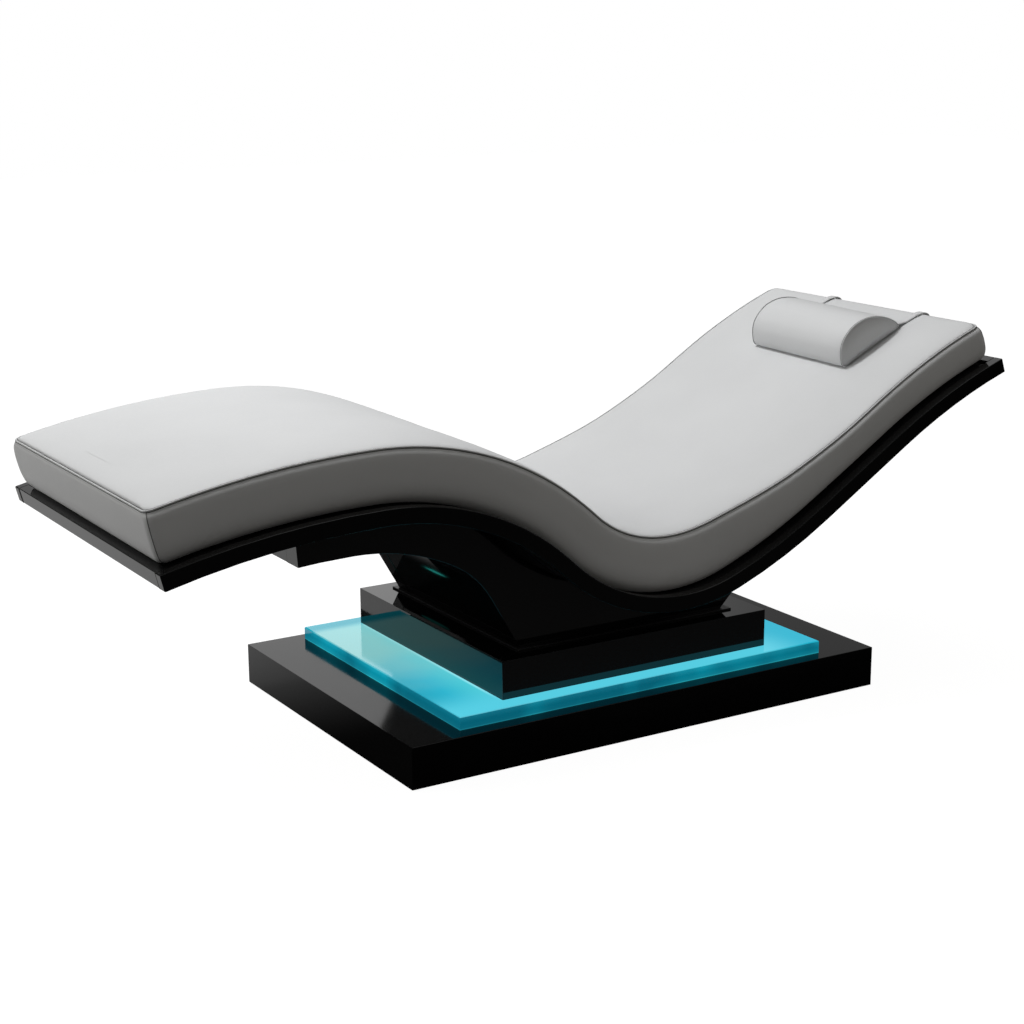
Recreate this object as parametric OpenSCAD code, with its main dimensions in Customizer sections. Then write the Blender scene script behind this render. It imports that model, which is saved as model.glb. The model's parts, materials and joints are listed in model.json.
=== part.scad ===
// Spa relaxation lounger: a wave-shaped couch with a piped cushion on a glossy pedestal,
// which stands on a stepped plinth with a lit acrylic slab in it. Millimetres.
// Origin on the floor under the middle of the plinth, +X from the feet to the head, +Z up.

/* [Base plinth] */
// length of the lower plinth along the lounger
base_length = 1172; // [900:1500]
// width of the lower plinth
base_width = 770; // [600:900]
// height of the lower plinth's casing
base_height = 89; // [60:140]
// thickness of the lacquered boards of both plinths
board = 19; // [12:25]
// thickness of the board that closes the lower plinth underneath
floor_board = 9; // [6:15]
// how far the glides stand below the casing
glide_proud = 3; // [2:8]
// diameter of a glide
glide_d = 40; // [25:60]
// distance of the outer glides from the casing's edges
glide_inset = 60; // [35:90]

/* [Lit slab] */
// length of the acrylic slab
plate_length = 918; // [700:1100]
// width of the acrylic slab
plate_width = 704; // [500:760]
// thickness of the acrylic slab
plate_t = 28; // [20:40]
// chamfer round the slab's top edges
plate_chamfer = 2; // [1:5]
// length of the cut-out in the slab
cut_length = 560; // [400:620]
// width of the cut-out in the slab
cut_width = 500; // [380:580]
// thickness of the LED channel's wall, front to back
channel_t = 12; // [8:16]
// height of the LED channel
channel_h = 20; // [14:26]
// depth of the channel's groove
groove_t = 6; // [4:10]
// height of the channel's groove
groove_h = 12; // [10:18]
// thickness of the LED tape
tape_t = 1.5; // [1:3]
// height of the LED tape
tape_h = 10; // [8:12]
// length of the spacer board in the cut-out
spacer_length = 440; // [380:500]
// width of the spacer board in the cut-out
spacer_width = 400; // [340:440]

/* [Upper plinth] */
// length of the upper plinth
upper_length = 672; // [500:800]
// width of the upper plinth
upper_width = 626; // [500:700]
// height of the upper plinth
upper_height = 82; // [50:120]
// width of each rib in the upper plinth
rib_w = 60; // [40:80]

/* [Steel] */
// distance of the tie rods from the inside of the curved panel on the foot side, at the flange
rod_from_foot = 74; // [45:100]
// the same on the head side
rod_from_head = 60; // [36:100]
// half the distance between the tie rods across the lounger
rod_y = 150; // [120:170]
// diameter of a tie rod
rod_d = 12; // [10:16]
// extra diameter of the holes for the rods
rod_clear = 1; // [0.5:2]
// width of a steel beam
beam_w = 50; // [40:80]
// wall of a steel beam
beam_wall = 3; // [2:5]
// gap between a beam's ends and the casing's boards
beam_gap = 7; // [2:40]
// width across the flats of a nut
nut_flats = 18; // [16:24]
// height of a nut
nut_h = 10; // [8:14]
// diameter of a washer
washer_d = 30; // [24:40]
// thickness of a washer
washer_t = 2.5; // [2:4]
// side of the square flange plate
flange_size = 546; // [524:600]
// thickness of the flange plate
flange_t = 4; // [3:8]

/* [Electrics] */
// length of the LED driver
driver_length = 170; // [100:220]
// width of the LED driver
driver_w = 60; // [40:90]
// height of the LED driver
driver_h = 32; // [20:45]
// distance of the driver from the casing's head end
driver_in = 61; // [56:90]
// line of the driver across the lounger
driver_y = -50; // [-70:-20]
// line of the inlet and the controller across the lounger
lead_y = 40; // [30:60]
// length of the colour controller
controller_length = 90; // [60:120]
// width of the colour controller
controller_w = 45; // [30:70]
// height of the colour controller
controller_h = 24; // [15:35]
// distance of the controller's centre from the cut-out's head end
controller_in = 34; // [20:50]
// width of the appliance inlet's flange
inlet_w = 50; // [40:60]
// height of the appliance inlet's flange
inlet_h = 28; // [24:40]
// thickness of the inlet's flange
inlet_t = 2.5; // [2:4]
// height of the inlet's centre above the floor
inlet_z = 48; // [40:60]
// distance from the casing's head end to where the mains lead drops to the driver
lead_drop = 46; // [40:56]
// depth of the inlet's body behind the flange
inlet_depth = 34; // [28:50]
// rim of the inlet's flange round its body
inlet_rim = 3; // [2:6]
// width of the inlet's socket
socket_w = 22; // [16:26]
// height of the inlet's socket
socket_h = 14; // [10:18]
// depth of the inlet's socket
socket_depth = 18; // [12:22]
// diameter of a contact pin in the inlet
pin_d = 2.4; // [2:4]
// length of a contact pin
pin_length = 14; // [10:16]
// distance between the two contact pins
pin_pitch = 8.6; // [6:12]
// diameter of a lead
lead_d = 7; // [5:9]
// diameter of the hole that the lead rises through
lead_hole = 11; // [9:16]

/* [Wave of the tray's underside, from the feet to the head] */
// where the underside starts, along the lounger
foot_x = -1081; // [-1200:-900]
// how high the underside starts
foot_z = 488.3; // [400:600]
// slope at the foot end, degrees
foot_slope = 14.2; // [5:20]
// radius of the bend under the feet
foot_r = 1870; // [1200:2500]
// turn of that bend, degrees
foot_turn = 13.7; // [5:20]
// radius of the crest under the knees
crest_r = 567; // [450:800]
// turn of the crest, degrees
crest_turn = 43; // [30:50]
// straight length under the thighs
thigh_line = 25; // [10:120]
// radius of the bend under the seat
seat_r = 419; // [350:600]
// turn of that bend, degrees
seat_turn = 62.9; // [50:70]
// radius of the bend under the small of the back
lumbar_r = 1283; // [900:2000]
// turn of that bend, degrees
lumbar_turn = 11.7; // [5:15]
// straight length under the back
back_line = 253; // [150:350]
// radius of the bend under the head
head_r = 1398; // [1000:2000]
// turn of that bend, degrees
head_turn = 13.1; // [5:20]

/* [Pedestal] */
// width over the side panels
pedestal_width = 520; // [440:600]
// thickness of a side panel
side_t = 48; // [30:60]
// how far the curved panels sit behind the side panels' edges
skin_recess = 1; // [0:30]
// thickness of the curved panels
skin_t = 16; // [12:22]
// depth of the arm under the feet, below the tray's underside
foot_depth = 90; // [60:120]
// depth of the arm under the back, below the tray's underside
head_depth = 82; // [60:120]
// distance of the arm's end from the foot end, along the wave
foot_arm = 322; // [200:420]
// distance of the arm's end from the head end, along the wave
head_arm = 400; // [250:520]
// slope at which the foot side leaves the crest, degrees
hip_from = -27; // [-35:-20]
// slope of the foot side down to the plinth, degrees
hip_to = -60; // [-70:-45]
// radius between them
hip_r = 215; // [150:300]
// slope of the head side up from the plinth, degrees
heel_from = 45; // [35:60]
// slope at which it meets the arm under the back, degrees
heel_to = 24; // [21:30]
// radius between them
heel_r = 60; // [30:120]
// thickness of the pedestal's floor
pedestal_floor_t = 22; // [18:30]
// distance of the cross walls from the middle
bulkhead_x = 120; // [100:140]
// thickness of a cross wall
bulkhead_t = 18; // [12:25]
// width of a deck cleat
cleat_w = 22; // [18:30]
// height of a deck cleat
cleat_h = 30; // [20:40]

/* [Tray] */
// width over the side rails
tray_width = 800; // [700:900]
// height of the rails, square to the wave
rail_h = 33; // [25:45]
// thickness of the rails
rail_t = 23; // [18:30]
// how far the end rails sit behind the ends of the side rails
joint_step = 1; // [0.5:3]
// distance of the deck's underside from the rails' lower edge
deck_low = 12; // [8:16]
// thickness of the deck
deck_t = 15; // [10:18]
// width of a cross batten, along the wave
batten_w = 60; // [40:80]
// distance of the outer battens from the tray's ends
batten_end = 60; // [40:90]
// distance between the two battens of a pair
batten_pitch = 130; // [100:160]
// width of a hook strip
strip_w = 50; // [30:80]
// thickness of a closed hook and loop strip
strip_t = 1.5; // [1:3]
// distance between hook strips
strip_pitch = 250; // [200:300]
// distance of the hook strips from the tray's ends
strip_end = 170; // [160:250]

/* [Cushion] */
// distance of the piped seam from the side rails' outer faces
seam_side = 34; // [24:60]
// distance of the seam from the tray's foot end
seam_foot = 18; // [12:40]
// distance of the seam from the tray's head end
seam_head = 20; // [12:40]
// height of the seam above the tray's underside, at the feet
seam_h_foot = 138; // [100:180]
// the same at the thighs
seam_h_thigh = 141; // [100:180]
// the same at the seat
seam_h_seat = 155; // [100:190]
// the same at the middle of the back
seam_h_back = 110; // [90:160]
// the same at the head end
seam_h_head = 114; // [90:160]
// where the thigh, seat and back heights hold, as shares of the wave's length
seam_shares = [0.38, 0.595, 0.83]; // [0.1:0.05:0.9]
// how far the foam crowns above the seam
crown = 10; // [5:30]
// how far the sides stand out from the seam
bulge = 8; // [0:12]
// how far the underside is drawn in from the seam
draw_in = 28; // [10:40]
// radius of the cushion's corners, seen from above
corner_r = 30; // [15:60]
// length over which the crown falls to the seam at the ends
crown_end = 56; // [30:80]

/* [Neck pillow] */
// middle of the pillow, as a distance from the tray's foot end along the wave
pillow_at = 2035; // [1900:2060]
// gap under the pillow
pillow_gap = 0.3; // [0.3:1]
// depth of the pillow along the back
pillow_depth = 176; // [120:220]
// height of the pillow
pillow_h = 74; // [50:100]
// length of the pillow across the lounger
pillow_length = 316; // [250:400]
// how far the pillow hangs off the middle line
pillow_off = -25; // [-60:60]
// rounding of the pillow's end seams
pillow_round = 7; // [3:15]
// outline of the pillow: places along its depth, as shares
pillow_depth_shares = [0.03, 0, -0.01, 0.02, 0.07, 0.16, 0.3, 0.46, 0.62, 0.76, 0.88, 0.965, 1.01, 1, 0.97]; // [-0.1:0.01:1.1]
// outline of the pillow: heights at those places, as shares
pillow_height_shares = [0, 0.04, 0.17, 0.42, 0.62, 0.81, 0.95, 1, 0.97, 0.85, 0.65, 0.4, 0.14, 0.04, 0]; // [0:0.01:1]

/* [Straps and counterweight] */
// width of a strap
strap_w = 20; // [12:30]
// thickness of a strap
strap_t = 3; // [2:4]
// gap that keeps a strap clear of what it slides over
strap_gap = 0.8; // [0.5:2]
// height of the strap's start above the pillow's lower face
strap_rise = 8; // [4:20]
// where a strap leaves the pillow, as a share of its depth
pillow_edge_share = 1.0085; // [0.98:0.0005:1.02]
// where a strap comes down on the cushion, past the middle of the pillow, as a share of its depth
strap_start_share = 0.56; // [0.5:0.01:0.7]
// radius of the loop over the head end
loop_r = 35; // [15:60]
// where the loop starts, before the seam
loop_back = 4; // [0:30]
// slope at the end of the loop, degrees
loop_to = -68; // [-90:-45]
// how far behind the tray the straps hang
hang_gap = 3; // [2:10]
// height of the counterweight's top edge
weight_top = 650; // [560:660]
// height of the counterweight
weight_h = 56; // [40:80]
// thickness of the counterweight
weight_t = 24; // [18:34]
// length of the counterweight
weight_length = 316; // [250:400]
// thickness of the cover and felt round the steel bar
weight_cover = 4; // [2:8]

/* [Hidden] */
$fn = 32;
slip = 0.5;
corner_steps = 3;
glide_rows = [-1, 0, 1];
z_casing = glide_proud + base_height;
z_plate = z_casing + plate_t;
z_upper = z_plate + upper_height;
z_flange = z_upper + flange_t;
z_cavity = glide_proud + floor_board;
cavity_h = base_height - floor_board - board;
rod_top = z_flange + pedestal_floor_t + washer_t + nut_h + slip;
inner_half = pedestal_width / 2 - side_t;
cleat_y = inner_half - cleat_w / 2;
driver_z = z_cavity + driver_h / 2;
driver_x = base_length / 2 - driver_in - driver_length / 2;
controller_x = cut_length / 2 - controller_in;
controller_z = z_cavity + controller_h / 2;
drop_x = base_length / 2 - lead_drop;
beam_length = base_length - 2 * board - 2 * beam_gap;
seam_half = tray_width / 2 - seam_side;
plenty = 3 * base_length;

bends = [-1 / foot_r, -1 / crest_r, 0, 1 / seat_r, 1 / lumbar_r, 0, -1 / head_r];
runs = [foot_r * foot_turn * PI / 180, crest_r * crest_turn * PI / 180, thigh_line,
    seat_r * seat_turn * PI / 180, lumbar_r * lumbar_turn * PI / 180, back_line,
    head_r * head_turn * PI / 180];
facets = [6, 14, 1, 20, 4, 2, 6];

// A place on the wave is [x, z, slope]. It moves along an arc of the bend k, or a straight line.
function travel(p, k, t) = k == 0 ? [p[0] + t * cos(p[2]), p[1] + t * sin(p[2]), p[2]] :
    let (b = p[2] + k * t * 180 / PI)
    [p[0] + (sin(b) - sin(p[2])) / k, p[1] - (cos(b) - cos(p[2])) / k, b];
function start_of(i) = i == 0 ? [foot_x, foot_z, foot_slope] :
    travel(start_of(i - 1), bends[i - 1], runs[i - 1]);
function run_to(i) = i == 0 ? 0 : run_to(i - 1) + runs[i - 1];
starts = [for (i = [0 : 6]) start_of(i)];
marks = [for (i = [0 : 7]) run_to(i)];
wave_length = marks[7];
function leg(s, i = 0) = i == 6 || s < marks[i + 1] ? i : leg(s, i + 1);
function pose(s) = let (i = leg(s)) travel(starts[i], bends[i], s - marks[i]);
function arc(s, d) = let (p = pose(s)) [p[0] - d * sin(p[2]), p[1] + d * cos(p[2])];
grid = concat([for (i = [0 : 6]) for (j = [0 : facets[i] - 1]) marks[i] + runs[i] * j / facets[i]],
    [wave_length]);

// The same place on the flats between the grid's stations, so that pieces bear on each other.
function flat(s, i = 0) = i == len(grid) - 2 || s < grid[i + 1] ? i : flat(s, i + 1);
function wave(s, d) = let (i = flat(s), t = (s - grid[i]) / (grid[i + 1] - grid[i]))
    arc(grid[i], d) * (1 - t) + arc(grid[i + 1], d) * t;
function stops(a, b, gap) = concat([a], [for (s = grid) if (s > a + gap && s < b - gap) s], [b]);
function flip(list) = [for (i = [len(list) - 1 : -1 : 0]) list[i]];
function band(a, b, low, high) = let (t = stops(a, b, slip))
    concat([for (s = t) wave(s, low)], flip([for (s = t) wave(s, high)]));

// The pedestal's two lower edges, moved inwards by o.
s_hip = marks[1] + crest_r * (foot_slope - foot_turn - hip_from) * PI / 180;
s_heel = marks[4] + lumbar_r * (heel_to - pose(marks[4])[2]) * PI / 180;
s_foot_arm = foot_arm;
s_head_arm = wave_length - head_arm;
hip_steps = 6;
heel_steps = 3;
hip_start = arc(s_hip, -foot_depth);
heel_start = arc(s_heel, -head_depth);
hip_c = [hip_start[0] + hip_r * sin(hip_from), hip_start[1] - hip_r * cos(hip_from)];
heel_c = [heel_start[0] + heel_r * sin(heel_to), heel_start[1] - heel_r * cos(heel_to)];
function on_arc(c, r, a) = [c[0] - r * sin(a), c[1] + r * cos(a)];
function down_to(p, a, z) = [p[0] + (z - p[1]) / tan(a), z];
function foot_edge(o, a) = concat(
    [for (s = stops(a, s_hip, slip)) wave(s, o - foot_depth)],
    [for (i = [1 : hip_steps]) on_arc(hip_c, hip_r + o, hip_from + (hip_to - hip_from) * i / hip_steps)],
    [down_to(on_arc(hip_c, hip_r + o, hip_to), hip_to, z_flange)]);
function head_edge(o, b) = concat(
    [down_to(on_arc(heel_c, heel_r + o, heel_from), heel_from, z_flange)],
    [for (i = [0 : heel_steps - 1])
        on_arc(heel_c, heel_r + o, heel_from + (heel_to - heel_from) * i / heel_steps)],
    [for (s = stops(s_heel, b, slip)) wave(s, o - head_depth)]);
function body(o, a, b) = concat(foot_edge(o, a), head_edge(o, b),
    flip([for (s = stops(a, b, slip)) wave(s, deck_low)]));
inside = skin_recess + skin_t;
foot_inner = down_to(on_arc(hip_c, hip_r + inside, hip_to), hip_to, z_flange);
head_inner = down_to(on_arc(heel_c, heel_r + inside, heel_from), heel_from, z_flange);
rod_rows = [foot_inner[0] + rod_from_foot, head_inner[0] - rod_from_head];
function slab_outline(l) = [[-l / 2, 0], [l / 2, 0], [l / 2, plate_t - plate_chamfer],
    [l / 2 - plate_chamfer, plate_t], [-l / 2 + plate_chamfer, plate_t], [-l / 2, plate_t - plate_chamfer]];
s_in_foot = s_foot_arm + skin_t;
s_in_head = s_head_arm - skin_t;

// Height of the piped seam above the tray's underside, blended between the five stated heights.
knots = [0, seam_shares[0], seam_shares[1], seam_shares[2], 1];
heights = [seam_h_foot, seam_h_thigh, seam_h_seat, seam_h_back, seam_h_head];
function knot(t, i = 0) = i == 3 || t < knots[i + 1] ? i : knot(t, i + 1);
function seam_h(s) = let (t = max(0, min(1, s / wave_length)), i = knot(t),
    u = (t - knots[i]) / (knots[i + 1] - knots[i]), v = u * u * (3 - 2 * u))
    heights[i] + (heights[i + 1] - heights[i]) * v;

// The cushion's rings, from its underside to its crown. A side ring is given as shares of the
// draw-in, of the bulge and of the height; a crown ring as shares of the half width, of the
// rounding at the ends and of the crown.
deck_top = deck_low + deck_t + strip_t;
ring_side_shares = [[1, 0, 0], [0.42, 0, 0.055], [0, 0.35, 0.2], [0, 1, 0.5], [0, 0.75, 0.8], [0, 0, 1]];
ring_crown_shares = [[0.03, 0.18, 0.45], [0.09, 0.45, 0.75], [0.25, 0.75, 0.93], [0.5, 1, 1]];
end_share = 0.6;
rings = concat(
    [for (r = ring_side_shares) let (i = r[0] * draw_in - r[1] * bulge) [i, i * end_share, r[2], 0]],
    [for (r = ring_crown_shares) [r[0] * seam_half, r[1] * crown_end, 1, r[2] * crown]]);
ring_count = len(rings);
row_gap = crown_end + corner_r / 3;
rows = stops(seam_foot + corner_r, wave_length - seam_head - corner_r, row_gap);
row_n = len(rows);
ring_n = 2 * row_n + 4 * corner_steps;
half_n = 2 * row_n + 2 * corner_steps;
function mirrored(i) = i < half_n ? half_n - 1 - i : half_n + ring_n - 1 - i;
function ring_point(s, y, r) = let (p = wave(s, deck_top + (seam_h(s) - deck_top) * r[2] + r[3]))
    [p[0], y, p[1]];
function corner(i) = 90 * i / corner_steps;
function ring_points(r) = let (h = seam_half - r[0] - corner_r, a = seam_foot + r[1] + corner_r,
    b = wave_length - seam_head - r[1] - corner_r, q = corner_r,
    line = [for (i = [0 : row_n - 1]) i == 0 ? a : i == row_n - 1 ? b : rows[i]])
    concat([for (s = line) ring_point(s, -h - q, r)],
        [for (i = [1 : corner_steps]) ring_point(b + q * sin(corner(i)), -h - q * cos(corner(i)), r)],
        [for (i = [corner_steps : -1 : 1]) ring_point(b + q * sin(corner(i)), h + q * cos(corner(i)), r)],
        [for (s = flip(line)) ring_point(s, h + q, r)],
        [for (i = [1 : corner_steps]) ring_point(a - q * sin(corner(i)), h + q * cos(corner(i)), r)],
        [for (i = [corner_steps : -1 : 1]) ring_point(a - q * sin(corner(i)), -h - q * cos(corner(i)), r)]);
cushion_points = [for (r = rings) for (p = ring_points(r)) p];
cap_starts = concat([for (i = [0 : row_n + corner_steps - 2]) i],
    [for (i = [2 * row_n + 3 * corner_steps : ring_n - 1]) i]);
function after(i) = (i + 1) % ring_n;
function low_cap(i) = [[i, after(i), mirrored(after(i))], [i, mirrored(after(i)), mirrored(i)]];
top_from = (ring_count - 1) * ring_n;
cushion_faces = concat(
    [for (i = cap_starts) for (t = low_cap(i)) t],
    [for (i = cap_starts) for (t = low_cap(i)) [t[2] + top_from, t[1] + top_from, t[0] + top_from]],
    [for (k = [0 : ring_count - 2]) for (i = [0 : ring_n - 1])
        for (t = [[i, i + ring_n, after(i) + ring_n], [i, after(i) + ring_n, after(i)]])
        [t[0] + k * ring_n, t[1] + k * ring_n, t[2] + k * ring_n]]);

// The pillow lies on the tangent of the crown, with a hair's gap. Its own frame starts at the
// front lower edge, with the depth along the back and the height square to it.
function top(s, gap) = arc(s, seam_h(s) + crown + gap);
pillow_back = top(pillow_at + slip, 0);
pillow_front = top(pillow_at - slip, 0);
pillow_slope = atan2(pillow_back[1] - pillow_front[1], pillow_back[0] - pillow_front[0]);
pillow_mid = top(pillow_at, pillow_gap);
function on_pillow(u, v) = let (w = u - pillow_depth / 2)
    pillow_mid + [w * cos(pillow_slope) - v * sin(pillow_slope),
        w * sin(pillow_slope) + v * cos(pillow_slope)];
pillow_sections = [[0, 1], [0.3, 0.35], [1, 0]];
pillow_n = len(pillow_depth_shares);
function pillow_ring(y, inset) = let (f = 1 - 2 * inset / pillow_depth)
    [for (i = [0 : pillow_n - 1])
        let (p = on_pillow(pillow_depth * (0.5 + (pillow_depth_shares[i] - 0.5) * f),
            pillow_h * pillow_height_shares[i] * f))
        [p[0], y, p[1]]];
pillow_near = pillow_off - pillow_length / 2;
pillow_far = pillow_off + pillow_length / 2;
pillow_points = concat(
    [for (s = pillow_sections)
        for (p = pillow_ring(pillow_near + s[0] * pillow_round, s[1] * pillow_round)) p],
    [for (s = flip(pillow_sections))
        for (p = pillow_ring(pillow_far - s[0] * pillow_round, s[1] * pillow_round)) p]);
pillow_rings = 2 * len(pillow_sections);
pillow_last = (pillow_rings - 1) * pillow_n;
function pillow_next(i) = (i + 1) % pillow_n;
pillow_faces = concat(
    [for (i = [1 : pillow_n - 2]) [0, i, i + 1]],
    [for (i = [1 : pillow_n - 2]) [pillow_last, pillow_last + i + 1, pillow_last + i]],
    [for (k = [0 : pillow_rings - 2]) for (i = [0 : pillow_n - 1]) let (j = pillow_next(i))
        for (t = [[i, i + pillow_n, j + pillow_n], [i, j + pillow_n, j]])
        [t[0] + k * pillow_n, t[1] + k * pillow_n, t[2] + k * pillow_n]]);

// A strap's inner face: from the pillow along the crown, over the head end in a loose loop, past
// the tray and down to the counterweight.
loop_steps = 8;
s_loop = wave_length - seam_head - loop_back;
loop_pose = pose(s_loop);
loop_start = top(s_loop, strap_gap);
loop_c = [loop_start[0] + loop_r * sin(loop_pose[2]), loop_start[1] - loop_r * cos(loop_pose[2])];
tray_end = wave(wave_length, 0);
tray_end_top = wave(wave_length, rail_h);
x_hang = tray_end[0] + hang_gap;
s_strap = pillow_at + pillow_depth * strap_start_share;
strap_path = concat(
    [on_pillow(pillow_depth * pillow_edge_share, strap_rise)],
    [for (i = [0 : 2]) top(s_strap + (s_loop - s_strap) * i / 3, strap_gap)],
    [for (i = [0 : loop_steps])
        on_arc(loop_c, loop_r, loop_pose[2] + (loop_to - loop_pose[2]) * i / loop_steps)],
    [[x_hang, tray_end_top[1]], [x_hang, weight_top]]);
function unit(a, b) = let (d = b - a) d / norm(d);
function out(p, i) = let (n = len(p),
    u = i == 0 ? unit(p[0], p[1]) : unit(p[i - 1], p[i]),
    v = i == n - 1 ? u : unit(p[i], p[i + 1]),
    m = (u + v) / norm(u + v))
    [-m[1], m[0]] / (m * u);
function thick(p, t) = concat(p, flip([for (i = [0 : len(p) - 1]) p[i] + t * out(p, i)]));

gloss = [0.05, 0.05, 0.055];
teal = [0.1, 0.7, 0.8];
hide = [0.86, 0.87, 0.88];
ply = [0.75, 0.6, 0.42];
steel = [0.55, 0.56, 0.58];
dark = [0.12, 0.12, 0.13];

// A block centred on the origin's column, with its lower face at z.
module slab(l, w, h, z) {
    translate([-l / 2, -w / 2, z])
        cube([l, w, h]);
}

// Draws a side view, [x, z], and gives it a width about y.
module across(w, y) {
    translate([0, y, 0])
        rotate([90, 0, 0])
            linear_extrude(height = w, center = true)
                children();
}

// The four places of the tie rods.
module at_rods() {
    for (x = rod_rows)
        for (y = [-rod_y, rod_y])
            translate([x, y, 0])
                children();
}

module rod_holes() {
    at_rods()
        cylinder(d = rod_d + rod_clear, h = plenty, center = true);
}

// A block about the inlet's middle line, from x towards the head.
module inlet_block(x, l, w, h) {
    translate([x, lead_y - w / 2, inlet_z - h / 2])
        cube([l, w, h]);
}

// A round bar from a point along one axis.
module lead_x(x0, x1, y, z) {
    translate([x0, y, z])
        rotate([0, 90, 0])
            cylinder(d = lead_d, h = x1 - x0);
}

module lead_across(x, y0, y1, z) {
    translate([x, y0, z])
        rotate([-90, 0, 0])
            cylinder(d = lead_d, h = y1 - y0);
}

module lead_z(x, y, z0, z1) {
    translate([x, y, z0])
        cylinder(d = lead_d, h = z1 - z0);
}

module lead_bend(x, y, z) {
    translate([x, y, z])
        sphere(d = lead_d);
}

module base_casing() {
    color(gloss)
        difference() {
            slab(base_length, base_width, base_height, glide_proud);
            slab(base_length - 2 * board, base_width - 2 * board, base_height, glide_proud - board);
            rod_holes();
            translate([controller_x, lead_y, 0])
                cylinder(d = lead_hole, h = plenty);
            inlet_block(base_length / 2 - 2 * board, 3 * board,
                inlet_w - 2 * inlet_rim, inlet_h - 2 * inlet_rim);
        }
}

module base_floor_panel() {
    color(ply)
        slab(base_length - 2 * board, base_width - 2 * board, floor_board, glide_proud);
}

module floor_glides() {
    color(dark)
        for (i = glide_rows)
            for (j = glide_rows)
                translate([i * (base_length / 2 - glide_inset), j * (base_width / 2 - glide_inset), 0])
                    cylinder(d = glide_d, h = glide_proud);
}

module base_beams() {
    color(steel)
        difference() {
            for (y = [-rod_y, rod_y])
                translate([0, y, 0])
                    difference() {
                        slab(beam_length, beam_w, cavity_h, z_cavity);
                        slab(plenty, beam_w - 2 * beam_wall, cavity_h - 2 * beam_wall,
                            z_cavity + beam_wall);
                    }
            at_rods()
                translate([0, 0, z_cavity + beam_wall])
                    cylinder(d = rod_d + rod_clear, h = plenty);
        }
}

module light_plate() {
    color(teal)
        difference() {
            intersection() {
                across(plate_width, 0)
                    translate([0, z_casing])
                        polygon(slab_outline(plate_length));
                translate([0, 0, z_casing])
                    rotate([90, 0, 90])
                        linear_extrude(height = plate_length, center = true)
                            polygon(slab_outline(plate_width));
            }
            slab(cut_length, cut_width, plenty, 0);
        }
}

module led_channel() {
    color(steel)
        difference() {
            slab(cut_length - slip, cut_width - slip, channel_h, z_casing + (plate_t - channel_h) / 2);
            slab(cut_length - 2 * channel_t, cut_width - 2 * channel_t, plenty, 0);
            difference() {
                slab(plate_length, plate_width, groove_h, z_casing + (plate_t - groove_h) / 2);
                slab(cut_length - 2 * groove_t, cut_width - 2 * groove_t, plenty, 0);
            }
        }
}

module led_strip() {
    color([0.4, 0.95, 1])
        difference() {
            slab(cut_length - 2 * groove_t + 2 * tape_t, cut_width - 2 * groove_t + 2 * tape_t, tape_h,
                z_casing + (plate_t - tape_h) / 2);
            slab(cut_length - 2 * groove_t, cut_width - 2 * groove_t, plenty, 0);
        }
}

module spacer_board() {
    color(ply)
        difference() {
            slab(spacer_length, spacer_width, plate_t, z_casing);
            rod_holes();
        }
}

module led_driver() {
    color(dark)
        translate([driver_x, driver_y, 0])
            slab(driver_length, driver_w, driver_h, z_cavity);
}

module led_controller() {
    color(dark)
        translate([controller_x, lead_y, 0])
            slab(controller_length, controller_w, controller_h, z_cavity);
}

module power_inlet() {
    color(dark)
        difference() {
            union() {
                inlet_block(base_length / 2, inlet_t, inlet_w, inlet_h);
                inlet_block(base_length / 2 - inlet_depth, inlet_depth + inlet_t / 2,
                    inlet_w - 2 * inlet_rim - slip, inlet_h - 2 * inlet_rim - slip);
            }
            difference() {
                inlet_block(base_length / 2 + inlet_t - socket_depth, 2 * socket_depth, socket_w, socket_h);
                for (y = [-pin_pitch / 2, pin_pitch / 2])
                    translate([base_length / 2 + inlet_t - socket_depth, lead_y + y, inlet_z])
                        rotate([0, 90, 0])
                            cylinder(d = pin_d, h = pin_length);
            }
        }
}

module leads() {
    color(dark) {
        union() {
            lead_x(drop_x, base_length / 2 - inlet_depth, lead_y, inlet_z);
            lead_bend(drop_x, lead_y, inlet_z);
            lead_z(drop_x, lead_y, driver_z, inlet_z);
            lead_bend(drop_x, lead_y, driver_z);
            lead_across(drop_x, driver_y, lead_y, driver_z);
            lead_bend(drop_x, driver_y, driver_z);
            lead_x(driver_x + driver_length / 2, drop_x, driver_y, driver_z);
        }
        union() {
            lead_x(controller_x, driver_x - driver_length / 2, driver_y, controller_z);
            lead_bend(controller_x, driver_y, controller_z);
            lead_across(controller_x, driver_y, lead_y - controller_w / 2, controller_z);
        }
        union() {
            lead_z(controller_x, lead_y, z_cavity + controller_h, z_casing + plate_t / 2);
            lead_bend(controller_x, lead_y, z_casing + plate_t / 2);
            lead_x(controller_x, cut_length / 2 - channel_t, lead_y, z_casing + plate_t / 2);
        }
    }
}

module upper_plinth() {
    color(gloss)
        difference() {
            slab(upper_length, upper_width, upper_height, z_plate);
            slab(upper_length - 2 * board, upper_width - 2 * board, upper_height, z_plate - board);
            rod_holes();
        }
}

module core_ribs() {
    color(ply)
        difference() {
            for (y = [-rod_y, rod_y])
                translate([0, y, 0])
                    slab(upper_length - 2 * board, rib_w, upper_height - board, z_plate);
            rod_holes();
        }
}

module tie_rods() {
    color(steel)
        at_rods()
            translate([0, 0, z_cavity + beam_wall])
                cylinder(d = rod_d, h = rod_top - z_cavity - beam_wall);
}

module tie_nuts() {
    color(steel)
        at_rods()
            translate([0, 0, z_flange + pedestal_floor_t])
                difference() {
                    union() {
                        cylinder(d = washer_d, h = washer_t);
                        cylinder(d = nut_flats / cos(30), h = washer_t + nut_h, $fn = 6);
                    }
                    cylinder(d = rod_d, h = plenty, center = true);
                }
}

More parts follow.
